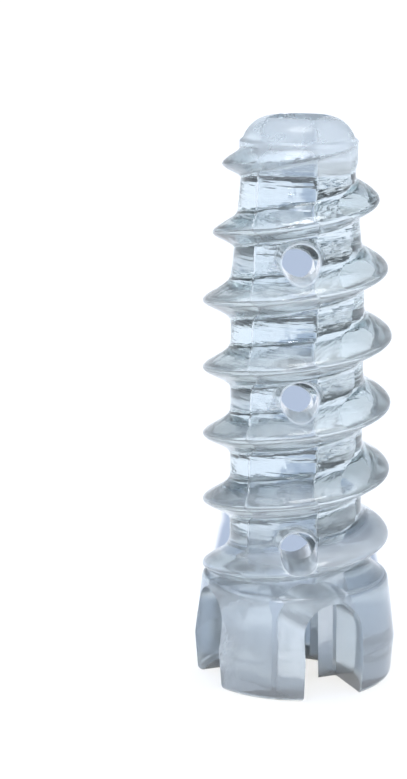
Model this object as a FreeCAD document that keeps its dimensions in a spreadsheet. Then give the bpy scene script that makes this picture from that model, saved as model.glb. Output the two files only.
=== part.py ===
import FreeCAD, Part
import math
import os

import Sketcher
from FreeCAD import Placement, Rotation, Vector

# A suture anchor for bone, injection moulded in one piece from a clear bioabsorbable polymer.
# It stands on its flat head with the tip up: Z = 0 is the head's face, the axis is +Z, and the
# front is -Y. A turn about the axis is counted from the front towards +X.

doc = FreeCAD.newDocument("suture_anchor")

# Driving sizes in millimetres and degrees. A height is measured up from the head's face, a depth or
# a taper's length down from the tip, and an inset inwards from the belly, where the head is widest.
SIZES = {
    "overall_length": 16.55,
    # thread and core
    "thread_diameter": 5.5,
    "core_diameter": 3.88,
    "thread_pitch": 1.98,
    "thread_start_height": 2.32,
    "thread_taper_length": 5.32,
    "thread_end_depth": 0.7066,
    "thread_taper_angle": 8.0,
    "crest_width": 0.14,
    "tip_flank_angle": 33.3,
    "head_flank_angle": 28.0,
    "tip_root_radius": 0.45,
    "head_root_radius": 0.33,
    "root_sink": 0.1,
    "thread_embed": 0.4,
    "core_taper_length": 4.65,
    "tip_core_diameter": 3.28,
    # nose
    "nose_length": 1.25,
    "nose_step_length": 0.3,
    "nose_diameter": 3.4,
    "nose_round_diameter": 3.2,
    "nose_round_length": 0.6,
    "nose_round_radius": 0.9,
    "nose_flat_diameter": 1.8,
    "lead_in_angle": 42.0,
    # head
    "belly_diameter": 5.96,
    "belly_height": 1.2,
    "head_edge_inset": 0.08,
    "head_edge_radius": 0.2,
    "shoulder_inset": 0.22,
    "shoulder_height": 2.93,
    "shoulder_chamfer": 0.15,
    "flare_height": 4.15,
    "flare_radius": 1.7,
    # drive socket, notches and vents
    "socket_head_width": 1.9,
    "socket_tip_width": 1.48,
    "feature_angle": 24.5,
    "notch_width": 1.84,
    "notch_height": 2.85,
    "notch_floor_distance": 1.0,
    "vent_diameter": 1.07,
    "vent_angle": 3.0,
    "low_vent_height": 4.26,
    "middle_vent_height": 8.67,
    "high_vent_depth": 3.95,
    "rear_low_vent_height": 3.36,
    "rear_middle_vent_height": 7.96,
    "rear_high_vent_depth": 4.49,
    "cut_clearance": 1.0,
}
NOTCHES = 4
FULL_TURN = 360.0
LEAST_CHANGE = 1e-4

# Sizes that follow from the driving ones, as expressions on the sheet.
TOP = "Sizes.overall_length"
TAPER_START = f"{TOP} - Sizes.thread_taper_length"
STRAIGHT_TURNS = f"({TAPER_START} - Sizes.thread_start_height) / Sizes.thread_pitch"
TAPER_TURNS = "(Sizes.thread_taper_length - Sizes.thread_end_depth) / Sizes.thread_pitch"
HEAD_EDGE = "Sizes.belly_diameter / 2 - Sizes.head_edge_inset"
SHOULDER = "Sizes.belly_diameter / 2 - Sizes.shoulder_inset"
FRONT_VENTS = {
    "low": "Sizes.low_vent_height",
    "middle": "Sizes.middle_vent_height",
    "high": f"{TOP} - Sizes.high_vent_depth",
}
REAR_VENTS = {
    "low": "Sizes.rear_low_vent_height",
    "middle": "Sizes.rear_middle_vent_height",
    "high": f"{TOP} - Sizes.rear_high_vent_depth",
}

sheet = doc.addObject("Spreadsheet::Sheet", "Sizes")
for row, (alias, value) in enumerate(SIZES.items(), start=1):
    sheet.set(f"A{row}", alias)
    sheet.set(f"B{row}", str(value))
    sheet.setAlias(f"B{row}", alias)
doc.recompute()

body = doc.addObject("PartDesign::Body", "anchor_body")
body.Label = "anchor_body"
body.Placement = Placement(Vector(0, 0, 0), Rotation())


def size_of(expression):
    """The number that an expression on the sheet stands for."""
    return float(sheet.evalExpression(expression))


def origin_feature(role):
    """One of the body's own origin planes or axes."""
    return next(f for f in body.Origin.OriginFeatures if f.Role == role)


def new_sketch(name, plane="XZ_Plane", turn="0", turn_axis=Vector(0, 1, 0), out="0", up="0"):
    """A sketch on an origin plane, turned about the anchor's axis and moved out or up from it."""
    sketch = body.newObject("Sketcher::SketchObject", name)
    sketch.AttachmentSupport = (origin_feature(plane), [""])
    sketch.MapMode = "FlatFace"
    sketch.AttachmentOffset = Placement(Vector(0, 0, 0), Rotation(turn_axis, size_of(turn)))
    sketch.setExpression("AttachmentOffset.Rotation.Angle", f"({turn}) * 1 deg")
    if out != "0":
        sketch.setExpression("AttachmentOffset.Base.x", f"({out}) * sin(({turn}) * 1 deg)")
        sketch.setExpression("AttachmentOffset.Base.z", f"({out}) * cos(({turn}) * 1 deg)")
    if up != "0":
        sketch.setExpression("AttachmentOffset.Base.z", up)
    return sketch


def bind(sketch, kind, name, expression, *places):
    """Adds a constraint of a size, names it and ties it to the sheet."""
    value = size_of(expression)
    if kind == "Angle":
        value = math.radians(value)
        expression = f"({expression}) * 1 deg"
    index = sketch.addConstraint(Sketcher.Constraint(kind, *places, value))
    sketch.renameConstraint(index, name)
    sketch.setExpression(f"Constraints.{name}", expression)


def place_point(sketch, name, geometry, point, across, up):
    """Ties a point of the sketch to its distances from the sketch's origin."""
    for kind, suffix, expression in (("DistanceX", "across", across), ("DistanceY", "up", up)):
        if expression == "0":
            axis = -2 if kind == "DistanceX" else -1
            sketch.addConstraint(Sketcher.Constraint("PointOnObject", geometry, point, axis))
        else:
            bind(sketch, kind, f"{name}_{suffix}", expression, -1, 1, geometry, point)


def arc_between(start, end, radius):
    """An arc from start to end. A positive radius bulges to the right of the way, a negative one left."""
    chord = end - start
    half = chord.Length / 2
    side = Vector(-chord.y, chord.x, 0).normalize() * (1 if radius > 0 else -1)
    centre = (start + end) / 2 + side * math.sqrt(radius * radius - half * half)
    first, last = (start, end) if radius > 0 else (end, start)
    begin = math.atan2(first.y - centre.y, first.x - centre.x)
    finish = math.atan2(last.y - centre.y, last.x - centre.x)
    return Part.ArcOfCircle(Part.Circle(centre, Vector(0, 0, 1), abs(radius)), begin, finish)


def draw_outline(sketch, corners):
    """A closed outline through corners (name, across, up, radius of the arc that follows or None)."""
    points = [Vector(size_of(across), size_of(up), 0) for _, across, up, _ in corners]
    ends = []
    for index, (_, _, _, radius) in enumerate(corners):
        start, end = points[index], points[(index + 1) % len(points)]
        if radius is None:
            sketch.addGeometry(Part.LineSegment(start, end))
            ends.append((1, 2))
        else:
            sketch.addGeometry(arc_between(start, end, size_of(radius)))
            ends.append((1, 2) if size_of(radius) > 0 else (2, 1))
    for index, (_, end) in enumerate(ends):
        after = (index + 1) % len(ends)
        sketch.addConstraint(Sketcher.Constraint("Coincident", index, end, after, ends[after][0]))
    for index, (name, across, up, radius) in enumerate(corners):
        place_point(sketch, name, index, ends[index][0], across, up)
        if radius is not None:
            bind(sketch, "Radius", f"{name}_arc", radius.lstrip("-"), index)


def require_change(feature, before, grows):
    """Stops if a feature added or cut nothing, which shows no error of its own."""
    doc.recompute()
    change = body.Shape.Volume - before
    if (change > 0) != grows or abs(change) < LEAST_CHANGE:
        raise RuntimeError(f"{feature.Name} changed the volume by {change:.5f}")
    return body.Shape.Volume


def turned_blank():
    """Head, flared neck, core and nose, turned as one outline about the axis."""
    sketch = new_sketch("blank_outline")
    step_top = f"{TOP} - Sizes.nose_length"
    draw_outline(sketch, [
        ("axis_foot", "0", "0", None),
        ("head_face", f"{HEAD_EDGE} - Sizes.head_edge_radius", "0", "Sizes.head_edge_radius"),
        ("head_edge", HEAD_EDGE, "Sizes.head_edge_radius", None),
        ("belly", "Sizes.belly_diameter / 2", "Sizes.belly_height", None),
        ("shoulder", SHOULDER, "Sizes.shoulder_height", None),
        ("flare_start", f"{SHOULDER} - Sizes.shoulder_chamfer",
         "Sizes.shoulder_height + Sizes.shoulder_chamfer", "-Sizes.flare_radius"),
        ("flare_end", "Sizes.core_diameter / 2", "Sizes.flare_height", None),
        ("taper_start", "Sizes.core_diameter / 2", f"{TOP} - Sizes.core_taper_length", None),
        ("taper_end", "Sizes.tip_core_diameter / 2", f"{step_top} - Sizes.nose_step_length", None),
        ("nose_foot", "Sizes.nose_diameter / 2", step_top, None),
        ("nose_top", "Sizes.nose_diameter / 2", TOP, None),
        ("axis_top", "0", TOP, None),
    ])
    blank = body.newObject("PartDesign::Revolution", "blank")
    blank.Profile = sketch
    blank.ReferenceAxis = (sketch, ["V_Axis"])
    blank.Angle = FULL_TURN
    return blank


def draw_thread_section(sketch, crest_height):
    """A thread ridge across the turn: a narrow crest, two straight flanks and two hollow roots."""
    crest, tip_root, head_root = "Sizes.crest_width", "Sizes.tip_root_radius", "Sizes.head_root_radius"
    crest_out = "Sizes.thread_diameter / 2"
    root_out = "Sizes.core_diameter / 2 - Sizes.root_sink"
    inner = "Sizes.core_diameter / 2 - Sizes.thread_embed"
    tip_angle, head_angle = "Sizes.tip_flank_angle", "Sizes.head_flank_angle"
    high_crest, low_crest = f"{crest_height} + {crest} / 2", f"{crest_height} - {crest} / 2"

    def flank(angle, level, root_radius, sign):
        """Crest end, root end and root centre of a flank on the tip's side, 1, or the head's, -1."""
        sine, cosine = math.sin(math.radians(angle)), math.cos(math.radians(angle))
        crest_end = Vector(size_of(crest_out), level, 0)
        run = (crest_end.x - size_of(root_out) - root_radius * (1 - sine)) / cosine
        root_end = crest_end + Vector(-cosine, sign * sine, 0) * run
        return crest_end, root_end, root_end + Vector(sine, sign * cosine, 0) * root_radius

    tip_radius, head_radius = size_of(tip_root), size_of(head_root)
    tip_crest, tip_foot, tip_centre = flank(size_of(tip_angle), size_of(high_crest), tip_radius, 1)
    head_crest, head_foot, head_centre = flank(size_of(head_angle), size_of(low_crest), head_radius, -1)
    normal, quarter, half_turn = Vector(0, 0, 1), math.pi / 2, math.pi
    tip_slope, head_slope = math.radians(size_of(tip_angle)), math.radians(size_of(head_angle))
    low_in, low_out = (Vector(size_of(x), head_centre.y, 0) for x in (inner, root_out))
    high_in, high_out = (Vector(size_of(x), tip_centre.y, 0) for x in (inner, root_out))

    back, low, head_arc, head_line, crest_line, tip_line, tip_arc, high = sketch.addGeometry([
        Part.LineSegment(high_in, low_in),
        Part.LineSegment(low_in, low_out),
        Part.ArcOfCircle(Part.Circle(head_centre, normal, head_radius), quarter + head_slope, half_turn),
        Part.LineSegment(head_foot, head_crest),
        Part.LineSegment(head_crest, tip_crest),
        Part.LineSegment(tip_crest, tip_foot),
        Part.ArcOfCircle(Part.Circle(tip_centre, normal, tip_radius), half_turn,
                         half_turn + quarter - tip_slope),
        Part.LineSegment(high_out, high_in),
    ])
    start, end, middle = 1, 2, 3
    for kind, *places in (
        ("Coincident", back, end, low, start),
        ("Coincident", low, end, head_arc, end),
        ("Tangent", head_arc, start, head_line, start),
        ("Coincident", head_line, end, crest_line, start),
        ("Coincident", crest_line, end, tip_line, start),
        ("Tangent", tip_line, end, tip_arc, end),
        ("Coincident", tip_arc, start, high, start),
        ("Coincident", high, end, back, start),
        ("Vertical", back),
        ("Vertical", crest_line),
        ("Horizontal", low),
        ("Horizontal", high),
        ("Horizontal", head_arc, middle, low, end),
        ("Horizontal", tip_arc, middle, high, start),
    ):
        sketch.addConstraint(Sketcher.Constraint(kind, *places))
    bind(sketch, "DistanceX", "inner_face", inner, -1, 1, back, end)
    bind(sketch, "DistanceX", "low_root", root_out, -1, 1, low, end)
    bind(sketch, "DistanceX", "high_root", root_out, -1, 1, high, start)
    bind(sketch, "DistanceX", "crest_out", crest_out, -1, 1, crest_line, start)
    bind(sketch, "DistanceY", "low_crest", low_crest, -1, 1, crest_line, start)
    bind(sketch, "DistanceY", "high_crest", high_crest, -1, 1, crest_line, end)
    bind(sketch, "Radius", "tip_root", tip_root, tip_arc)
    bind(sketch, "Radius", "head_root", head_root, head_arc)
    bind(sketch, "Angle", "head_flank", head_angle, -1, head_line)
    bind(sketch, "Angle", "tip_flank", f"180 - {tip_angle}", -1, tip_line)


def thread_run(name, start_turn, start_height, turns, taper):
    """A run of the thread, right handed, that starts with its section turned to start_turn."""
    sketch = new_sketch(f"{name}_section", turn=start_turn)
    draw_thread_section(sketch, start_height)
    run = body.newObject("PartDesign::AdditiveHelix", name)
    run.Profile = sketch
    run.ReferenceAxis = (sketch, ["V_Axis"])
    run.Mode = "pitch-turns-angle"
    run.setExpression("Pitch", "Sizes.thread_pitch")
    run.setExpression("Turns", turns)
    run.setExpression("Angle", f"({taper}) * 1 deg")
    run.Refine = False
    return run


def tip_form():
    """Cuts the thread down to a lead-in cone, levels the tip and rounds the nose."""
    sketch = new_sketch("tip_form_outline")
    outer = "Sizes.thread_diameter / 2 + Sizes.cut_clearance"
    round_out = "Sizes.nose_round_diameter / 2"
    round_foot = f"{TOP} - Sizes.nose_round_length"
    cone_foot = f"{round_foot} - ({outer} - {round_out}) / tan(Sizes.lead_in_angle * 1 deg)"
    draw_outline(sketch, [
        ("cone_foot", outer, cone_foot, None),
        ("outer_top", outer, f"{TOP} + Sizes.cut_clearance", None),
        ("axis_above", "0", f"{TOP} + Sizes.cut_clearance", None),
        ("axis_top", "0", TOP, None),
        ("flat_edge", "Sizes.nose_flat_diameter / 2", TOP, "-Sizes.nose_round_radius"),
        ("cone_top", round_out, round_foot, None),
    ])
    groove = body.newObject("PartDesign::Groove", "tip_form")
    groove.Profile = sketch
    groove.ReferenceAxis = (sketch, ["V_Axis"])
    groove.Angle = FULL_TURN
    return groove


def square_sketch(name, width, up):
    """A square across the axis whose corners point to the head's notches."""
    sketch = new_sketch(name, "XY_Plane", "Sizes.feature_angle", Vector(0, 0, 1), up=up)
    reach = size_of(width) / math.sqrt(2)
    corners = [Vector(reach, 0, 0), Vector(0, reach, 0), Vector(-reach, 0, 0), Vector(0, -reach, 0)]
    for index in range(4):
        sketch.addGeometry(Part.LineSegment(corners[index], corners[(index + 1) % 4]))
    for index in range(4):
        sketch.addConstraint(Sketcher.Constraint("Coincident", index, 2, (index + 1) % 4, 1))
    sketch.addConstraint(Sketcher.Constraint("Symmetric", 0, 1, 2, 1, -1, 1))
    sketch.addConstraint(Sketcher.Constraint("Symmetric", 1, 1, 3, 1, -1, 1))
    sketch.addConstraint(Sketcher.Constraint("PointOnObject", 0, 1, -1))
    sketch.addConstraint(Sketcher.Constraint("PointOnObject", 1, 1, -2))
    sketch.addConstraint(Sketcher.Constraint("Perpendicular", 0, 1))
    bind(sketch, "Distance", "width", width, 0)
    return sketch


def drive_socket():
    """The tapered square socket that runs through the anchor from the head's face to the tip."""
    head_square = square_sketch("socket_head_square", "Sizes.socket_head_width", "0")
    tip_square = square_sketch("socket_tip_square", "Sizes.socket_tip_width", TOP)
    socket = body.newObject("PartDesign::SubtractiveLoft", "drive_socket")
    socket.Profile = head_square
    socket.Sections = [tip_square]
    socket.Ruled = True
    return socket


def vent_row(name, heights, reversed_cut):
    """Three round vents, one above the other, from the socket out through one side of the core."""
    sketch = new_sketch(f"{name}_circles", turn="Sizes.vent_angle")
    radius = size_of("Sizes.vent_diameter / 2")
    for index, (level, height) in enumerate(heights.items()):
        sketch.addGeometry(Part.Circle(Vector(0, size_of(height), 0), Vector(0, 0, 1), radius))
        place_point(sketch, level, index, 3, "0", height)
        bind(sketch, "Diameter", f"{level}_diameter", "Sizes.vent_diameter", index)
    row = body.newObject("PartDesign::Pocket", name)
    row.Profile = sketch
    row.Type = "Length"
    row.setExpression("Length", "Sizes.thread_diameter / 2 + Sizes.cut_clearance")
    row.Reversed = reversed_cut
    return row


def head_notch():
    """One arch-topped notch in the head's side, open at the head's face and into the socket's corner."""
    sketch = new_sketch("notch_arch", turn="Sizes.feature_angle", out="Sizes.notch_floor_distance")
    half = size_of("Sizes.notch_width / 2")
    spring = size_of("Sizes.notch_height - Sizes.notch_width / 2")
    foot = -size_of("Sizes.cut_clearance")
    right, arch, left, sill = sketch.addGeometry([
        Part.LineSegment(Vector(half, foot, 0), Vector(half, spring, 0)),
        Part.ArcOfCircle(Part.Circle(Vector(0, spring, 0), Vector(0, 0, 1), half), 0, math.pi),
        Part.LineSegment(Vector(-half, spring, 0), Vector(-half, foot, 0)),
        Part.LineSegment(Vector(-half, foot, 0), Vector(half, foot, 0)),
    ])
    for kind, *places in (
        ("Tangent", right, 2, arch, 1),
        ("Tangent", arch, 2, left, 1),
        ("Coincident", left, 2, sill, 1),
        ("Coincident", sill, 2, right, 1),
        ("Vertical", right),
        ("Vertical", left),
        ("Horizontal", sill),
    ):
        sketch.addConstraint(Sketcher.Constraint(kind, *places))
    place_point(sketch, "arch", arch, 3, "0", "Sizes.notch_height - Sizes.notch_width / 2")
    bind(sketch, "Radius", "arch_radius", "Sizes.notch_width / 2", arch)
    bind(sketch, "DistanceY", "foot_drop", "Sizes.cut_clearance", sill, 1, -1, 1)
    notch = body.newObject("PartDesign::Pocket", "notch")
    notch.Profile = sketch
    notch.Type = "Length"
    notch.setExpression("Length", "Sizes.belly_diameter / 2 + Sizes.cut_clearance")
    notch.Reversed = True
    return notch


def notch_ring(notch):
    """The notches, evenly spaced round the head."""
    ring = body.newObject("PartDesign::PolarPattern", "notch_ring")
    ring.Originals = [notch]
    ring.Axis = (origin_feature("Z_Axis"), [""])
    ring.Angle = FULL_TURN
    ring.Occurrences = NOTCHES
    return ring


def main():
    """Builds the anchor, checks it and writes its file."""
    volume = require_change(turned_blank(), 0.0, True)
    straight = thread_run("straight_thread", "0", "Sizes.thread_start_height", STRAIGHT_TURNS, "0")
    volume = require_change(straight, volume, True)
    taper = thread_run("taper_thread", f"{STRAIGHT_TURNS} * {FULL_TURN:.0f}", TAPER_START, TAPER_TURNS,
                       "-Sizes.thread_taper_angle")
    volume = require_change(taper, volume, True)
    volume = require_change(tip_form(), volume, False)
    volume = require_change(drive_socket(), volume, False)
    volume = require_change(vent_row("front_vents", FRONT_VENTS, True), volume, False)
    volume = require_change(vent_row("rear_vents", REAR_VENTS, False), volume, False)
    notch = head_notch()
    volume = require_change(notch, volume, False)
    ring = notch_ring(notch)
    body.Tip = ring
    volume = require_change(ring, volume, False)

    for item in doc.Objects:
        if "Invalid" in item.State or "Error" in item.State:
            raise RuntimeError(f"{item.Name} failed: {item.State}")
    shape = body.Shape
    if shape.isNull() or not shape.isValid() or len(shape.Solids) != 1:
        raise RuntimeError("anchor_body isn't one valid solid")
    box = shape.optimalBoundingBox()
    print(f"volume {shape.Volume:.3f} mm3")
    print(f"box {box.XLength:.3f} by {box.YLength:.3f} by {box.ZLength:.3f} mm")
    os.makedirs("parts", exist_ok=True)
    shape.exportStep(f"parts/{body.Label}.step")


main()
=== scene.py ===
import math

import bpy
import numpy as np
from bpy.props import FloatProperty, FloatVectorProperty, PointerProperty
from mathutils import Euler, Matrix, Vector


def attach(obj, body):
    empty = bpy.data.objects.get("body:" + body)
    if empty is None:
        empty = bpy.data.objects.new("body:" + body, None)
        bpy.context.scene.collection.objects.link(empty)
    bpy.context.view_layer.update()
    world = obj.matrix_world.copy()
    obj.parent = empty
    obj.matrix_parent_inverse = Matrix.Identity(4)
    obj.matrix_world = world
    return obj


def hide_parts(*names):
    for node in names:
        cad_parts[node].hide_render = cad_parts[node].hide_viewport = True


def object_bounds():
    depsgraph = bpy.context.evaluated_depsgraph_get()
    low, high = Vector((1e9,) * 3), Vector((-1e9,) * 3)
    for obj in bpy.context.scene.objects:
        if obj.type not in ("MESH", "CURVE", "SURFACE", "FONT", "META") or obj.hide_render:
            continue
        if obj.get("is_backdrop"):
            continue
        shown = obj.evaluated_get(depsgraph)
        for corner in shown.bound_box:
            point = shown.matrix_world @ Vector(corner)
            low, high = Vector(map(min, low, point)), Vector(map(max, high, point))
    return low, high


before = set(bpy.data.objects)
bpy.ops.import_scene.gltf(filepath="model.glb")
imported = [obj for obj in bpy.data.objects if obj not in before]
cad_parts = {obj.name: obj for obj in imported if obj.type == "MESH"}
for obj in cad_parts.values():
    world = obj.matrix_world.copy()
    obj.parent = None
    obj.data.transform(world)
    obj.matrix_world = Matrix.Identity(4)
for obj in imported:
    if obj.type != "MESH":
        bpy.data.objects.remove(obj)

bl_info = {
    "name": "Clear threaded suture anchor",
    "version": (1, 0, 0),
    "blender": (4, 5, 0),
    "location": "View3D > Sidebar > Anchor",
    "description": "Builds a clear moulded suture anchor and the pale stage that it stands on",
    "category": "Object",
}

# Shapes are worked out in millimetres and written into their meshes in metres.
CAD_LOW, CAD_HIGH = (tuple(corner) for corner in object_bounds())
MILLIMETRE = 0.001
CAD_LENGTH = (CAD_HIGH[2] - CAD_LOW[2]) / MILLIMETRE
# The outline's smaller forms in millimetres: the nose's rounding, the shoulder's chamfer and its
# rounding, the flare under the core, the step out to the nose, and the small flat face on the
# axis that closes each end.
NOSE_ROUND_RADIUS, NOSE_ROUND_LENGTH = 1.6, 0.6
NOSE_FLAT_RADIUS, NOSE_ROUNDING = 0.9, 0.9
SHOULDER_CHAMFER, SHOULDER_ROUNDING = 0.15, 0.17
FLARE_ROUNDING = 1.7
NOSE_STEP = 0.3
END_FACE_RADIUS = 0.05
# How near an edge the outline's last points lie, which keeps it crisp.
FACE_RIM, NOSE_RIM = 0.04, 0.08
# The ridge's bell curve, how far it starts inside the core, and how wide it blends into the core
# and into the cone that ends it at the nose.
BELL_REACH, BELL_POWER = 1.04, 1.95
RIDGE_SINK = 0.1
CORE_BLEND, CONE_BLEND = 0.1, 0.08
LEAD_IN_SLOPE = math.tan(math.radians(42.0))
# Slow waves: share, waves round the axis, turn per millimetre of height, and phase.
WAVES = ((0.5, 2, 1.1, 0.4), (0.4, 3, -2.3, 1.9), (0.3, 5, 3.7, 4.1),
         (0.25, 7, -6.1, 2.6), (0.2, 4, 9.3, 5.2), (0.2, 9, 4.9, 0.9))
# The waves grow from nothing at this radius to all they are this much further out.
WAVES_FROM, WAVES_GROW = 1.0, 0.5
COLUMNS = 200
# The cutters: how far they stand out, the socket's rounded corner, and the rings of the vents.
OVERSHOOT = 1.0
SOCKET_CORNER = 0.1
VENT_REACHES = (0.0, 1.2, 1.5, 1.7, 2.0, 2.4, 2.8, 3.4)
NOTCH_REACH = 3.6
NOTCH_ROWS = 14
# Edges that turn by more than this are sharp.
SHARP_EDGE = math.radians(35)
# Where the finish changes, from and to, in millimetres: heights above the head's face, distances
# from the axis, and the vents' rims as shares of their diameter.
HEAD_HAZE = (3.4, 5.2)
HEAD_COLOUR = (3.4, 4.2)
NOSE_HAZE = (14.8, 15.8)
FOOT_BEGINS, FOOT_ENDS = (3.7, 4.2), (5.2, 5.8)
FOOT_REACH = (1.95, 2.2)
CREST_REACH = (2.1, 2.5)
SOCKET_REACH = (1.36, 1.4)
VENT_RIM = (0.52, 0.57)
# How much of the full haze the crests have and of the full cloud the nose has, and how much of
# the streaks is left where the surface is dull.
CREST_HAZE = 0.85
NOSE_CLOUD = 0.5
DULL_STREAKS = 0.25
# The smoothest and roughest places, as shares of the mean roughness.
SMOOTHEST, ROUGHEST = 0.4, 1.6
# How fine the noise of the flow marks and of the streaks goes, in octaves, and how fast it fades.
MARK_DETAIL, STREAK_DETAIL = 3.0, 2.0
NOISE_FADE = 0.45
# The stage: the floor's reach in millimetres, and the lamps' places and sizes in metres.
FLOOR_REACH = 3000.0
LAMP_TARGET = (0, 0, 0.008)
KEY_PLACE, KEY_SIZE = (-0.06, -0.2, 0.1), 0.06
TOP_PLACE, TOP_SIZE = (0, -0.03, 0.2), 0.1
FRONT_SPREAD = math.radians(1.0)
WHITE = (1.0, 1.0, 1.0)
SENSOR_WIDTH = 36.0
NEAREST_SEEN, FURTHEST_SEEN = 0.001, 20.0
# Where the room turns dark overhead and behind the camera: how far a ray points up or back.
DARK_OVERHEAD = (0.15, 0.5)
DARK_BEHIND = (-0.3, -0.9)


def length(name, description, millimetres):
    """A length property in metres, given in millimetres."""
    return FloatProperty(name=name, description=description, default=millimetres * MILLIMETRE,
                         min=0.0, unit="LENGTH", subtype="DISTANCE", precision=5)


def angle(name, description, degrees):
    """An angle property, given in degrees."""
    return FloatProperty(name=name, description=description, default=math.radians(degrees),
                         unit="ROTATION", subtype="ANGLE")


def levels(name, description, three):
    """A property of three heights in metres, given in millimetres."""
    return FloatVectorProperty(name=name, description=description, precision=5, unit="LENGTH",
                               default=[round(level * MILLIMETRE, 6) for level in three])


def shade(name, description, linear):
    """A colour property, given as linear red, green and blue."""
    return FloatVectorProperty(name=name, description=description, default=linear,
                               subtype="COLOR", min=0.0, max=1.0)


def fraction(name, description, default):
    """A property from 0 to 1."""
    return FloatProperty(name=name, description=description, default=default,
                         min=0.0, max=1.0, subtype="FACTOR")


def wattage(name, description, watts):
    """A lamp's power in watts."""
    return FloatProperty(name=name, description=description, default=watts, min=0.0, unit="POWER")


class AnchorSizes(bpy.types.PropertyGroup):
    """The anchor's sizes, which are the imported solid's."""

    overall: length("Length", "From the head's face to the tip", CAD_LENGTH)
    thread: length("Thread diameter", "Across the thread's crests", 5.5)
    core: length("Core diameter", "Across the shank between the threads", 3.88)
    pitch: length("Pitch", "From one crest to the next", 1.98)
    thread_start: length("Thread start", "Crest height on the +X side at the thread's start", 2.32)
    taper_start: length("Taper start", "Crest height from which the thread tapers", 11.23)
    thread_taper: angle("Thread taper", "Slope of the crests towards the tip", 8.0)
    tip_reach: length("Tip side", "Reach of the ridge's flank towards the tip", 0.4424)
    head_reach: length("Head side", "Reach of the ridge's flank towards the head", 0.3598)
    core_taper_start: length("Core taper start", "Height from which the core narrows", 11.9)
    tip_core: length("Tip core diameter", "Across the core under the nose", 3.28)
    nose: length("Nose diameter", "Across the nose", 3.4)
    nose_length: length("Nose length", "Straight and rounded part of the nose", 1.25)
    head_face: length("Head face diameter", "Across the flat face that the anchor stands on", 5.4)
    head_edge: length("Head edge diameter", "Across the head above its rounded lower edge", 5.8)
    belly: length("Head diameter", "Across the head where it is widest", 5.96)
    belly_height: length("Belly height", "Height at which the head is widest", 1.2)
    shoulder: length("Shoulder diameter", "Across the head's upper edge", 5.52)
    shoulder_height: length("Shoulder height", "Height of the head's upper edge", 2.93)
    flare_height: length("Flare height", "Height at which the flared neck meets the core", 4.15)
    socket_head: length("Socket at the head", "Across the square socket's flats at the head", 1.9)
    socket_tip: length("Socket at the tip", "Across the square socket's flats at the tip", 1.48)
    feature_turn: angle("Notch turn", "Turn of the notches and the socket's corners", 24.5)
    notch_width: length("Notch width", "Width of a head notch", 1.84)
    notch_height: length("Notch height", "Height of a notch's arch", 2.85)
    notch_floor: length("Notch floor", "Distance of a notch's floor from the axis", 1.0)
    vent: length("Vent diameter", "Across a side vent", 1.07)
    vent_turn: angle("Vent turn", "Turn of the front vents", 3.0)
    front_vents: levels("Front vents", "Heights of the front vents", (4.26, 8.67, 12.6))
    rear_vents: levels("Rear vents", "Heights of the rear vents", (3.36, 7.96, 12.06))
    waviness: length("Waviness", "Unevenness that moulding and polishing leave", 0.008)


class AnchorFinish(bpy.types.PropertyGroup):
    """How the clear polymer looks."""

    tint: shade("Tint", "Colour that the polymer's surface gives", (0.89, 0.925, 0.95))
    crest_tint: shade("Crest tint", "Colour that the thread's crests give", (0.93, 0.935, 0.92))
    head_tint: shade("Head tint", "Colour that the head's surface gives", (0.87, 0.91, 0.94))
    depth_tint: shade("Depth tint", "Colour of light after one millimetre of polymer",
                      (0.935, 0.956, 0.960))
    ior: FloatProperty(name="Index", description="Refractive index of the polymer",
                       default=1.46, min=1.0)
    roughness: fraction("Roughness", "Mean roughness of the surface", 0.02)
    clarity: fraction("Clarity", "Share of the light that the shank's surface lets in", 0.98)
    dull_clarity: fraction("Dull clarity", "Share that the head, nose and crests let in", 0.78)
    dull_roughness: fraction("Dull roughness", "Mean roughness of the head and crests", 0.16)
    nose_roughness: fraction("Nose roughness", "Mean roughness of the nose", 0.3)
    cloudy_clarity: fraction("Cloudy clarity", "Share that the cloudiest places let in", 0.5)
    socket_roughness: fraction("Socket roughness", "Mean roughness of the socket's walls", 0.06)
    flaw_depth: length("Flaw depth", "Depth of the slow flow marks", 0.02)
    flaw_size: length("Flaw size", "Size of the slow flow marks", 0.6)
    streak_depth: length("Streak depth", "Depth of the fine level streaks", 0.03)
    streak_width: length("Streak width", "Width of the fine level streaks", 0.16)
    streak_length: length("Streak length", "Length of the fine level streaks", 1.5)


class AnchorStage(bpy.types.PropertyGroup):
    """Floor, light and camera."""

    paper: shade("Paper", "Colour of the paper that the anchor stands on", (0.92, 0.92, 0.92))
    fill: shade("Fill", "Soft light from all round on the paper", (0.50, 0.60, 0.78))
    front_tint: shade("Front tint", "Colour of the low front light", (1.0, 0.94, 0.85))
    front_strength: FloatProperty(name="Front strength", default=2.15, min=0.0,
                                  description="What the front light gives the paper")
    front_rise: angle("Front rise", "Height of the front light above the paper", 11.0)
    wall: shade("Wall", "Colour of the room near the floor", (0.75, 0.78, 0.82))
    ceiling: shade("Ceiling", "Colour of the room overhead", (0.05, 0.055, 0.06))
    dark_side: shade("Dark side", "Colour of the room behind the camera", (0.07, 0.08, 0.09))
    key_power: wattage("Key power", "Power of the main lamp", 0.16)
    top_power: wattage("Top power", "Power of the soft lamp overhead", 0.19)
    lens: FloatProperty(name="Lens", description="Focal length", default=100.9, min=1.0,
                        unit="CAMERA")
    camera_back: length("Camera distance", "How far the camera stands from the axis", 62.3)
    camera_height: length("Camera height", "Height of the camera above the floor", 22.5)
    camera_pitch: angle("Camera pitch", "How far the camera looks down", 12.6)
    camera_yaw: angle("Camera yaw", "How far the camera looks to the left of the axis", 2.5)


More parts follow.
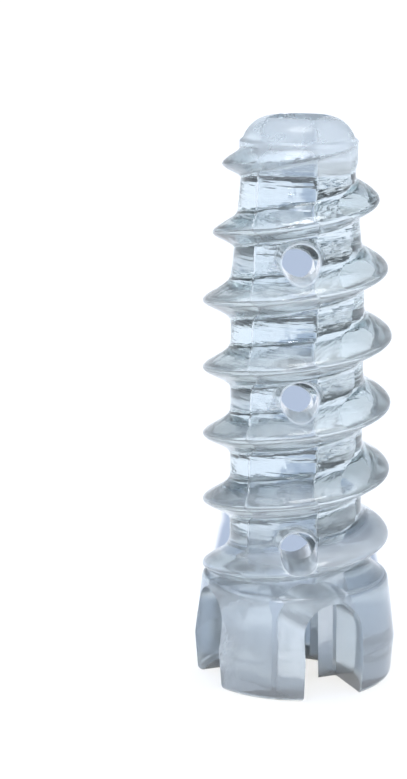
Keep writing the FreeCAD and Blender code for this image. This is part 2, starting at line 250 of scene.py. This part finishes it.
def new_mesh_object(name, points, faces, smooth=True):
    """An object at the origin with this mesh. Points are in millimetres."""
    mesh = bpy.data.meshes.new(name)
    mesh.from_pydata(np.asarray(points, dtype=float).tolist(), [], faces)
    mesh.polygons.foreach_set("use_smooth", np.full(len(mesh.polygons), smooth))
    mesh.update()
    obj = bpy.data.objects.new(name, mesh)
    bpy.context.scene.collection.objects.link(obj)
    return obj


def tube_faces(rows, columns, start=0):
    """Quads of a grid of rows around a closed loop of columns, facing outwards when rows rise and
    columns turn anticlockwise seen from above."""
    row, column = np.meshgrid(np.arange(rows - 1), np.arange(columns), indexing="ij")
    after = (column + 1) % columns
    quads = np.stack([row * columns + column, row * columns + after,
                      (row + 1) * columns + after, (row + 1) * columns + column], axis=-1)
    return (quads.reshape(-1, 4) + start).tolist()


def closed_tubes(name, tubes):
    """Closed tubes as one object. Each goes through its rings (rows, columns, 3), with one flat
    face at each end."""
    points, faces, start = [], [], 0
    for rings in tubes:
        rows, columns, _ = rings.shape
        faces += tube_faces(rows, columns, start)
        faces.append([start + i for i in range(columns)][::-1])
        faces.append([start + (rows - 1) * columns + i for i in range(columns)])
        points.append(rings.reshape(-1, 3))
        start += rows * columns
    return new_mesh_object(name, np.concatenate(points), faces)


def arc(start, end, radius, steps):
    """Points of an arc from start to end, without its end, in equal steps. A positive radius bulges
    to the right of the way and a negative one to the left."""
    start, end = np.asarray(start, float), np.asarray(end, float)
    chord = end - start
    half = np.hypot(*chord) / 2
    normal = np.array([-chord[1], chord[0]]) / (2 * half) * np.sign(radius)
    centre = (start + end) / 2 + normal * math.sqrt(radius ** 2 - half ** 2)
    first = math.atan2(*(start - centre)[::-1])
    sweep = 2 * math.asin(half / abs(radius)) * np.sign(radius)
    turn = first + sweep * np.arange(steps) / steps
    return centre + abs(radius) * np.stack([np.cos(turn), np.sin(turn)], axis=-1)


def line(start, end, steps):
    """Evenly spaced points from start to end, without the end."""
    share = (np.arange(steps) / steps)[:, None]
    return np.asarray(start, float) * (1 - share) + np.asarray(end, float) * share


def smooth_most(first, second, blend):
    """The larger of two, rounded where they are within blend of each other by a parabola."""
    near = np.clip(blend - np.abs(first - second), 0.0, None) / blend
    return np.maximum(first, second) + near ** 2 * blend / 4


def turned_outline(size):
    """Radius and height, in millimetres, of the turned blank from the head's face to the top."""
    top = size["overall"]
    nose_foot = top - size["nose_length"]
    face = (size["head_face"] / 2, 0.0)
    edge = (size["head_edge"] / 2, (size["head_edge"] - size["head_face"]) / 2)
    belly = (size["belly"] / 2, size["belly_height"])
    shoulder = (size["shoulder"] / 2, size["shoulder_height"])
    flare_start = (shoulder[0] - SHOULDER_CHAMFER, shoulder[1] + SHOULDER_CHAMFER)
    flare_end = (size["core"] / 2, size["flare_height"])
    taper = (size["core"] / 2, size["core_taper_start"])
    taper_end = (size["tip_core"] / 2, nose_foot - NOSE_STEP)
    nose = (size["nose"] / 2, nose_foot)
    round_start = (NOSE_ROUND_RADIUS, top - NOSE_ROUND_LENGTH)
    round_end = (NOSE_FLAT_RADIUS, top)
    return np.concatenate([
        line((END_FACE_RADIUS, 0.0), (face[0] - FACE_RIM, 0.0), 12),
        line((face[0] - FACE_RIM, 0.0), face, 1),
        arc(face, edge, edge[1], 9),
        line(edge, belly, 22),
        line(belly, shoulder, 40),
        arc(shoulder, flare_start, SHOULDER_ROUNDING, 6),
        arc(flare_start, flare_end, -FLARE_ROUNDING, 26),
        line(flare_end, taper, 172),
        line(taper, taper_end, 68),
        line(taper_end, nose, 7),
        line(nose, (nose[0], round_start[1] - NOSE_RIM), 13),
        line((nose[0], round_start[1] - NOSE_RIM), round_start, 3),
        arc(round_start, round_end, NOSE_ROUNDING, 20),
        line(round_end, (END_FACE_RADIUS, top), 8),
        [(END_FACE_RADIUS, top)],
    ])


def thread_radius(size, turn, height):
    """Radius of the thread's surface at a turn from the front and a height. The nearest crest's
    height gives the crest's radius, which falls with the taper, and the ridge falls away from it
    as a bell curve that reaches further on the tip's side than on the head's."""
    pitch, core = size["pitch"], size["core"] / 2
    crest_here = size["thread_start"] + pitch * (turn - math.pi / 2) / (2 * math.pi)
    away = (height - crest_here + pitch / 2) % pitch - pitch / 2
    crest_height = height - away
    tapered = np.clip(crest_height - size["taper_start"], 0, None)
    crest = size["thread"] / 2 - tapered * math.tan(size["thread_taper"])
    depth = size["thread"] / 2 - core + RIDGE_SINK
    reach = np.where(away > 0, size["tip_reach"], size["head_reach"]) * BELL_REACH
    bell = np.exp(-np.abs(away / reach) ** BELL_POWER)
    return crest - depth * (1 - bell)


def waves(size, turn, height):
    """Unevenness of the outer surface: a few slow waves of fixed phase round and along it."""
    total = np.zeros(np.broadcast(turn, height).shape)
    for share, around, along, phase in WAVES:
        total += share * np.sin(around * turn + along * height + phase)
    return total * size["waviness"] / 2


def outer_form(size):
    """The anchor without its holes: the turned outline carried round the axis, and raised to the
    thread where that stands out further, itself cut back to the lead-in cone at the tip."""
    outline = turned_outline(size)
    radius, height = outline[:, 0][:, None], outline[:, 1][:, None]
    turn = (2 * math.pi * np.arange(COLUMNS) / COLUMNS)[None, :]
    thread = thread_radius(size, turn, height)
    round_foot = size["overall"] - NOSE_ROUND_LENGTH
    on_shank = (height > size["shoulder_height"]) & (height < round_foot)
    cone = NOSE_ROUND_RADIUS + (round_foot - height) * LEAD_IN_SLOPE
    thread = -smooth_most(-thread, -cone, CONE_BLEND)
    surface = np.where(on_shank, smooth_most(radius, thread, CORE_BLEND), radius)
    uneven = waves(size, turn, height) - size["waviness"]
    surface = surface + uneven * np.clip((surface - WAVES_FROM) / WAVES_GROW, 0, 1)
    rings = np.stack([surface * np.sin(turn), -surface * np.cos(turn),
                      np.broadcast_to(height, surface.shape)], axis=-1)
    return closed_tubes("anchor_outer", [rings])


def rounded_square(width, corner, flat_steps=7, corner_steps=6):
    """Points round a square of that width whose corners, of that radius, lie on the X and Y axes.
    Each side is a straight run, and each corner turns through a quarter in equal steps."""
    points = []
    straight = width / 2 - corner
    for side in range(4):
        heading = math.radians(45 + 90 * side)
        out = np.array([math.cos(heading), math.sin(heading)])
        along = np.array([-out[1], out[0]])
        run = np.linspace(-straight, straight, flat_steps)[:, None]
        points.append(out * width / 2 + along * run)
        centre = out * straight + along * straight
        turn = heading + np.radians(90) * (np.arange(1, corner_steps) / corner_steps)
        points.append(centre + corner * np.stack([np.cos(turn), np.sin(turn)], axis=-1))
    return np.concatenate(points)


def turned(points, about_z):
    """Points turned about the Z axis, from the front towards +X for a positive angle."""
    cosine, sine = math.cos(about_z), math.sin(about_z)
    matrix = np.array([[cosine, -sine, 0], [sine, cosine, 0], [0, 0, 1]])
    return points @ matrix.T


def socket_cutter(size):
    """The drive socket: a rounded square that narrows evenly from the head to the tip."""
    rows = np.linspace(-OVERSHOOT, size["overall"] + OVERSHOOT, 60)
    share = rows / size["overall"]
    widths = size["socket_head"] + (size["socket_tip"] - size["socket_head"]) * share
    rings = []
    for level, width in zip(rows, widths):
        ring = rounded_square(width, SOCKET_CORNER)
        rings.append(np.column_stack([ring, np.full(len(ring), level)]))
    return closed_tubes("socket_cutter", [turned(np.array(rings), size["feature_turn"])])


def vent_cutter(size, columns=56):
    """The vents: round pins from inside the socket outwards, three in front and three behind."""
    pins = []
    ring_turn = 2 * math.pi * np.arange(columns) / columns
    circle = np.stack([np.cos(ring_turn), np.sin(ring_turn)], axis=-1) * size["vent"] / 2
    for side, heights in ((0.0, size["front_vents"]), (math.pi, size["rear_vents"])):
        for level in heights:
            rings = np.stack([np.column_stack([circle[:, 0], np.full(columns, -reach),
                                               circle[:, 1] + level]) for reach in VENT_REACHES])
            pins.append(turned(rings, size["vent_turn"] + side))
    return closed_tubes("vent_cutter", pins)


def notch_cutter(size, arch_steps=32):
    """The head notches: a slot with a half-round top, carried from the notch's floor outwards."""
    half = size["notch_width"] / 2
    spring = size["notch_height"] - half
    turn = np.linspace(0, math.pi, arch_steps)
    arch = np.stack([half * np.cos(turn), spring + half * np.sin(turn)], axis=-1)
    sides = np.linspace(-OVERSHOOT, spring, NOTCH_ROWS)[:-1]
    right = np.stack([np.full(len(sides), half), sides], axis=-1)
    left = np.stack([np.full(len(sides), -half), sides[::-1]], axis=-1)
    profile = np.concatenate([right, arch, left])
    reaches = np.linspace(size["notch_floor"], NOTCH_REACH, NOTCH_ROWS)
    rings = np.stack([np.column_stack([profile[:, 0], np.full(len(profile), -reach),
                                       profile[:, 1]]) for reach in reaches])
    slots = []
    for quarter in range(4):
        slots.append(turned(rings, size["feature_turn"] + quarter * math.pi / 2))
    return closed_tubes("notch_cutter", slots)


def outward(obj):
    """Turns every face of a closed mesh outwards, if its volume says that they point inwards."""
    mesh = obj.data
    mesh.calc_loop_triangles()
    points = np.empty(len(mesh.vertices) * 3)
    mesh.vertices.foreach_get("co", points)
    points = points.reshape(-1, 3)
    corners = np.empty(len(mesh.loop_triangles) * 3, dtype=np.int64)
    mesh.loop_triangles.foreach_get("vertices", corners)
    a, b, c = points[corners.reshape(-1, 3)].transpose(1, 0, 2)
    if np.einsum("ij,ij->i", a, np.cross(b, c)).sum() < 0:
        mesh.flip_normals()
    return obj


def cut(target, *cutters):
    """The target's mesh less the cutters, which are removed."""
    for cutter in cutters:
        modifier = target.modifiers.new(cutter.name, "BOOLEAN")
        modifier.operation = "DIFFERENCE"
        modifier.solver = "MANIFOLD"
        modifier.object = cutter
    depsgraph = bpy.context.evaluated_depsgraph_get()
    result = bpy.data.meshes.new_from_object(target.evaluated_get(depsgraph))
    target.modifiers.clear()
    old = target.data
    target.data = result
    bpy.data.meshes.remove(old)
    for cutter in cutters:
        mesh = cutter.data
        bpy.data.objects.remove(cutter)
        bpy.data.meshes.remove(mesh)


def to_metres(obj):
    """Scales a mesh that was made in millimetres."""
    mesh = obj.data
    points = np.empty(len(mesh.vertices) * 3)
    mesh.vertices.foreach_get("co", points)
    mesh.vertices.foreach_set("co", points * MILLIMETRE)
    mesh.update()


def anchor_sizes(properties):
    """The size properties as plain numbers: lengths in millimetres, angles in radians."""
    size = {}
    for key in AnchorSizes.__annotations__:
        value = getattr(properties, key)
        if key in ("thread_taper", "feature_turn", "vent_turn"):
            size[key] = value
        elif key in ("front_vents", "rear_vents"):
            size[key] = [v / MILLIMETRE for v in value]
        else:
            size[key] = value / MILLIMETRE
    return size


def noise(tree, scale, detail):
    """Noise in the object's own space, with a scale along each axis, as a socket from 0 to 1."""
    nodes, links = tree.nodes, tree.links
    place = nodes.new("ShaderNodeTexCoord")
    stretch = nodes.new("ShaderNodeVectorMath")
    stretch.operation = "MULTIPLY"
    stretch.inputs[1].default_value = scale
    texture = nodes.new("ShaderNodeTexNoise")
    texture.inputs["Scale"].default_value = 1.0
    texture.inputs["Detail"].default_value = detail
    texture.inputs["Roughness"].default_value = NOISE_FADE
    links.new(place.outputs["Object"], stretch.inputs[0])
    links.new(stretch.outputs["Vector"], texture.inputs["Vector"])
    return texture.outputs["Fac"]


def ramp(tree, value, low, high, at_low, at_high):
    """A socket that goes from at_low to at_high while the value goes from low to high."""
    node = tree.nodes.new("ShaderNodeMapRange")
    ends = {"From Min": low, "From Max": high, "To Min": at_low, "To Max": at_high}
    for name, number in ends.items():
        node.inputs[name].default_value = number
    tree.links.new(value, node.inputs["Value"])
    return node.outputs["Result"]


def fade(tree, value, span, at_low, at_high):
    """A ramp whose span is given in millimetres."""
    return ramp(tree, value, span[0] * MILLIMETRE, span[1] * MILLIMETRE, at_low, at_high)


def combine(tree, operation, first, second=None):
    """A socket with the result of a sum on one or two values, each a socket or a number."""
    node = tree.nodes.new("ShaderNodeMath")
    node.operation = operation
    for socket, value in zip(node.inputs, (first, second)):
        if isinstance(value, bpy.types.NodeSocket):
            tree.links.new(value, socket)
        elif value is not None:
            socket.default_value = value
    return node.outputs["Value"]


def bump(tree, height, depth, below=None):
    """A bump of that depth, laid over the one below."""
    node = tree.nodes.new("ShaderNodeBump")
    node.inputs["Strength"].default_value = 1.0
    node.inputs["Distance"].default_value = depth
    tree.links.new(height, node.inputs["Height"])
    if below is not None:
        tree.links.new(below, node.inputs["Normal"])
    return node.outputs["Normal"]


def hypotenuse(tree, first, second):
    """The square root of the sum of two squares, as a socket."""
    return combine(tree, "SQRT", combine(tree, "ADD", combine(tree, "MULTIPLY", first, first),
                                         combine(tree, "MULTIPLY", second, second)))


def from_vents(tree, sizes, x, y, z):
    """Distance of a point from the axis of the nearest side vent, as a socket. All vents lie level
    and turned alike, and those in front and behind have heights of their own."""
    turn = sizes.vent_turn
    along = combine(tree, "SUBTRACT", combine(tree, "MULTIPLY", y, math.cos(turn)),
                    combine(tree, "MULTIPLY", x, math.sin(turn)))
    across = combine(tree, "ADD", combine(tree, "MULTIPLY", x, math.cos(turn)),
                     combine(tree, "MULTIPLY", y, math.sin(turn)))
    behind = combine(tree, "GREATER_THAN", along, 0.0)
    nearest = None
    for front, rear in zip(sizes.front_vents, sizes.rear_vents):
        rise = combine(tree, "SUBTRACT", z, ramp(tree, behind, 0.0, 1.0, front, rear))
        away = hypotenuse(tree, across, rise)
        nearest = away if nearest is None else combine(tree, "MINIMUM", nearest, away)
    return nearest


def clear_polymer(finish, sizes):
    """Clear, slightly hazy polymer with slow flow marks and fine level streaks. It is duller at the
    head, the nose and the thread's crests, cloudy in the vents, at the thread's foot and somewhat
    at the nose, and rougher in the socket."""
    material = bpy.data.materials.new("clear_polymer")
    material.use_nodes = True
    tree = material.node_tree
    shader = tree.nodes["Principled BSDF"]
    shader.inputs["IOR"].default_value = finish.ior
    place = tree.nodes.new("ShaderNodeTexCoord")
    split = tree.nodes.new("ShaderNodeSeparateXYZ")
    tree.links.new(place.outputs["Object"], split.inputs["Vector"])
    height = split.outputs["Z"]
    x, y = split.outputs["X"], split.outputs["Y"]
    away = hypotenuse(tree, x, y)

    head = fade(tree, height, HEAD_HAZE, 1.0, 0.0)
    nose = fade(tree, height, NOSE_HAZE, 0.0, 1.0)
    crest = fade(tree, away, CREST_REACH, 0.0, CREST_HAZE)
    dull = combine(tree, "MAXIMUM", combine(tree, "MAXIMUM", head, nose), crest)
    in_vent = ramp(tree, from_vents(tree, sizes, x, y, height),
                   VENT_RIM[0] * sizes.vent, VENT_RIM[1] * sizes.vent, 1.0, 0.0)
    foot = combine(tree, "MULTIPLY", fade(tree, height, FOOT_BEGINS, 0.0, 1.0),
                   fade(tree, height, FOOT_ENDS, 1.0, 0.0))
    foot = combine(tree, "MULTIPLY", foot, fade(tree, away, FOOT_REACH, 0.0, 1.0))
    cloud = combine(tree, "MAXIMUM", combine(tree, "MAXIMUM", in_vent, foot),
                    combine(tree, "MULTIPLY", nose, NOSE_CLOUD))

    surface = mix_colour(tree, crest, tuple(finish.tint), tuple(finish.crest_tint))
    at_head = fade(tree, height, HEAD_COLOUR, 1.0, 0.0)
    surface = mix_colour(tree, at_head, surface, tuple(finish.head_tint))
    tree.links.new(surface, shader.inputs["Base Color"])
    clear = ramp(tree, dull, 0.0, 1.0, finish.clarity, finish.dull_clarity)
    clear = combine(tree, "MINIMUM", clear, ramp(tree, cloud, 0.0, 1.0, 1.0, finish.cloudy_clarity))
    tree.links.new(clear, shader.inputs["Transmission Weight"])

    marks = noise(tree, (1 / finish.flaw_size,) * 3, MARK_DETAIL)
    across, along = 1 / finish.streak_length, 1 / finish.streak_width
    streaks = combine(tree, "MULTIPLY", noise(tree, (across, across, along), STREAK_DETAIL),
                      ramp(tree, dull, 0.0, 1.0, 1.0, DULL_STREAKS))
    normal = bump(tree, streaks, finish.streak_depth, bump(tree, marks, finish.flaw_depth))
    tree.links.new(normal, shader.inputs["Normal"])

    rough = ramp(tree, dull, 0.0, 1.0, finish.roughness, finish.dull_roughness)
    in_socket = fade(tree, away, SOCKET_REACH, finish.socket_roughness, 0.0)
    at_nose = ramp(tree, nose, 0.0, 1.0, 0.0, finish.nose_roughness)
    rough = combine(tree, "MAXIMUM", combine(tree, "MAXIMUM", rough, in_socket), at_nose)
    rough = combine(tree, "MULTIPLY", rough, ramp(tree, marks, 0.0, 1.0, SMOOTHEST, ROUGHEST))
    tree.links.new(rough, shader.inputs["Roughness"])

    # At a density of one per millimetre, absorption leaves the exponential of the colour less one
    # of the light after each millimetre.
    absorb = tree.nodes.new("ShaderNodeVolumeAbsorption")
    absorb.inputs["Density"].default_value = 1 / MILLIMETRE
    absorb.inputs["Color"].default_value = (*(1 + math.log(c) for c in finish.depth_tint), 1.0)
    tree.links.new(absorb.outputs["Volume"], tree.nodes["Material Output"].inputs["Volume"])
    return material


class SUTURE_ANCHOR_OT_body(bpy.types.Operator):
    """Make the clear anchor body with its thread, socket, vents and notches"""

    bl_idname = "suture_anchor.body"
    bl_label = "Anchor body"

    def execute(self, context):
        scene = context.scene
        size = anchor_sizes(scene.suture_anchor_sizes)
        body = outward(outer_form(size))
        cut(body, outward(socket_cutter(size)))
        cut(body, outward(vent_cutter(size)))
        cut(body, outward(notch_cutter(size)))
        body.data.set_sharp_from_angle(angle=SHARP_EDGE)
        to_metres(body)
        body.name = body.data.name = "clear_anchor"
        body.data.materials.clear()
        body.data.materials.append(clear_polymer(scene.suture_anchor_finish,
                                                 scene.suture_anchor_sizes))
        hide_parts("anchor_body")
        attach(body, "root")
        return {"FINISHED"}


def ray_shares(tree):
    """Two sockets: whether a camera ray asks, and whether a glossy or a transmitted ray asks."""
    rays = tree.nodes.new("ShaderNodeLightPath")
    through = combine(tree, "MAXIMUM", rays.outputs["Is Glossy Ray"],
                      rays.outputs["Is Transmission Ray"])
    return rays.outputs["Is Camera Ray"], through


def mix_colour(tree, factor, first, second):
    """A colour mixed by a socket or a number. A colour may be a socket or three numbers."""
    node = tree.nodes.new("ShaderNodeMix")
    node.data_type = "RGBA"
    for name, value in (("Factor", factor), ("A", first), ("B", second)):
        is_colour = name != "Factor"
        socket = next(s for s in node.inputs if s.name == name and (s.type == "RGBA") == is_colour)
        if isinstance(value, bpy.types.NodeSocket):
            tree.links.new(value, socket)
        else:
            socket.default_value = (*value, 1.0) if is_colour else value
    return next(s for s in node.outputs if s.type == "RGBA")


def backdrop_paper(stage):
    """Pale matt paper."""
    material = bpy.data.materials.new("backdrop_paper")
    material.use_nodes = True
    shader = material.node_tree.nodes["Principled BSDF"]
    shader.inputs["Base Color"].default_value = (*stage.paper, 1.0)
    shader.inputs["Roughness"].default_value = 1.0
    shader.inputs["Specular IOR Level"].default_value = 0.0
    return material


def studio_world(stage):
    """Soft light all round: white to the camera, and to the polymer a room that is pale near the
    floor and dark overhead and behind the camera."""
    world = bpy.data.worlds.new("studio_world")
    world.use_nodes = True
    tree = world.node_tree
    nodes, links = tree.nodes, tree.links
    place = nodes.new("ShaderNodeTexCoord")
    split = nodes.new("ShaderNodeSeparateXYZ")
    links.new(place.outputs["Generated"], split.inputs["Vector"])
    up = ramp(tree, split.outputs["Z"], *DARK_OVERHEAD, 0.0, 1.0)
    room = mix_colour(tree, up, tuple(stage.wall), tuple(stage.ceiling))
    behind = ramp(tree, split.outputs["Y"], *DARK_BEHIND, 0.0, 1.0)
    room = mix_colour(tree, behind, room, tuple(stage.dark_side))
    direct, through = ray_shares(tree)
    seen = mix_colour(tree, through, tuple(stage.fill), room)
    links.new(mix_colour(tree, direct, seen, WHITE), nodes["Background"].inputs["Color"])
    return world


def lamp(name, kind, place, target, power, colour, lit):
    """A lamp that looks at a point and lights only the object lit. Returns it and its data."""
    data = bpy.data.lights.new(name, kind)
    data.energy = power
    data.color = colour
    obj = bpy.data.objects.new(name, data)
    obj.location = place
    obj.rotation_euler = (Vector(target) - Vector(place)).to_track_quat("-Z", "Y").to_euler()
    bpy.context.scene.collection.objects.link(obj)
    group = bpy.data.collections.new(f"{name}_lights")
    group.objects.link(lit)
    obj.light_linking.receiver_collection = group
    return obj, data


def disk_lamp(name, place, power, across, lit):
    """A white round lamp of that width in metres, which looks at the anchor."""
    obj, data = lamp(name, "AREA", place, LAMP_TARGET, power, WHITE, lit)
    data.shape = "DISK"
    data.size = across
    return obj


class SUTURE_ANCHOR_OT_stage(bpy.types.Operator):
    """Make the pale floor, the soft light and the camera"""

    bl_idname = "suture_anchor.stage"
    bl_label = "Stage"

    def execute(self, context):
        scene = context.scene
        stage = scene.suture_anchor_stage
        reach = FLOOR_REACH
        corners = [(-reach, -reach, 0), (reach, -reach, 0), (reach, reach, 0), (-reach, reach, 0)]
        floor = new_mesh_object("floor", corners, [(0, 1, 2, 3)], False)
        to_metres(floor)
        floor.data.materials.append(backdrop_paper(stage))
        floor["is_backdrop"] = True
        scene.world = studio_world(stage)

        anchor = bpy.data.objects["clear_anchor"]
        disk_lamp("key", KEY_PLACE, stage.key_power, KEY_SIZE, anchor)
        top = disk_lamp("top", TOP_PLACE, stage.top_power, TOP_SIZE, anchor)
        top.visible_transmission = False
        rise = stage.front_rise
        _, front = lamp("front", "SUN", (0, -1, math.tan(rise)), (0, 0, 0),
                        stage.front_strength / math.sin(rise), tuple(stage.front_tint), floor)
        front.angle = FRONT_SPREAD
        front.cycles.use_multiple_importance_sampling = False

        camera_data = bpy.data.cameras.new("camera")
        camera_data.lens = stage.lens
        camera_data.sensor_width = SENSOR_WIDTH
        camera_data.clip_start, camera_data.clip_end = NEAREST_SEEN, FURTHEST_SEEN
        camera = bpy.data.objects.new("camera", camera_data)
        camera.location = (0.0, -stage.camera_back, stage.camera_height)
        camera.rotation_euler = Euler((math.pi / 2 - stage.camera_pitch, 0.0, stage.camera_yaw))
        scene.collection.objects.link(camera)
        scene.camera = camera
        scene.view_settings.view_transform = "Standard"
        return {"FINISHED"}


class SUTURE_ANCHOR_PT_panel(bpy.types.Panel):
    """Lists the anchor's pieces and settings"""

    bl_idname = "SUTURE_ANCHOR_PT_panel"
    bl_label = "Suture anchor"
    bl_space_type = "VIEW_3D"
    bl_region_type = "UI"
    bl_category = "Anchor"

    def draw(self, context):
        layout = self.layout
        scene = context.scene
        for operator in OPERATORS:
            layout.operator(operator.bl_idname)
        for group, kind in ((scene.suture_anchor_sizes, AnchorSizes),
                            (scene.suture_anchor_finish, AnchorFinish),
                            (scene.suture_anchor_stage, AnchorStage)):
            for key in kind.__annotations__:
                layout.prop(group, key)


OPERATORS = (SUTURE_ANCHOR_OT_body, SUTURE_ANCHOR_OT_stage)
CLASSES = (AnchorSizes, AnchorFinish, AnchorStage, *OPERATORS, SUTURE_ANCHOR_PT_panel)


def register():
    """Registers the classes and their settings on the scene."""
    for cls in CLASSES:
        bpy.utils.register_class(cls)
    bpy.types.Scene.suture_anchor_sizes = PointerProperty(type=AnchorSizes)
    bpy.types.Scene.suture_anchor_finish = PointerProperty(type=AnchorFinish)
    bpy.types.Scene.suture_anchor_stage = PointerProperty(type=AnchorStage)


def unregister():
    """Takes the classes and their settings away again."""
    del bpy.types.Scene.suture_anchor_stage
    del bpy.types.Scene.suture_anchor_finish
    del bpy.types.Scene.suture_anchor_sizes
    for cls in reversed(CLASSES):
        bpy.utils.unregister_class(cls)


def main():
    register()
    bpy.ops.suture_anchor.body()
    bpy.ops.suture_anchor.stage()


if __name__ == "__main__":
    main()
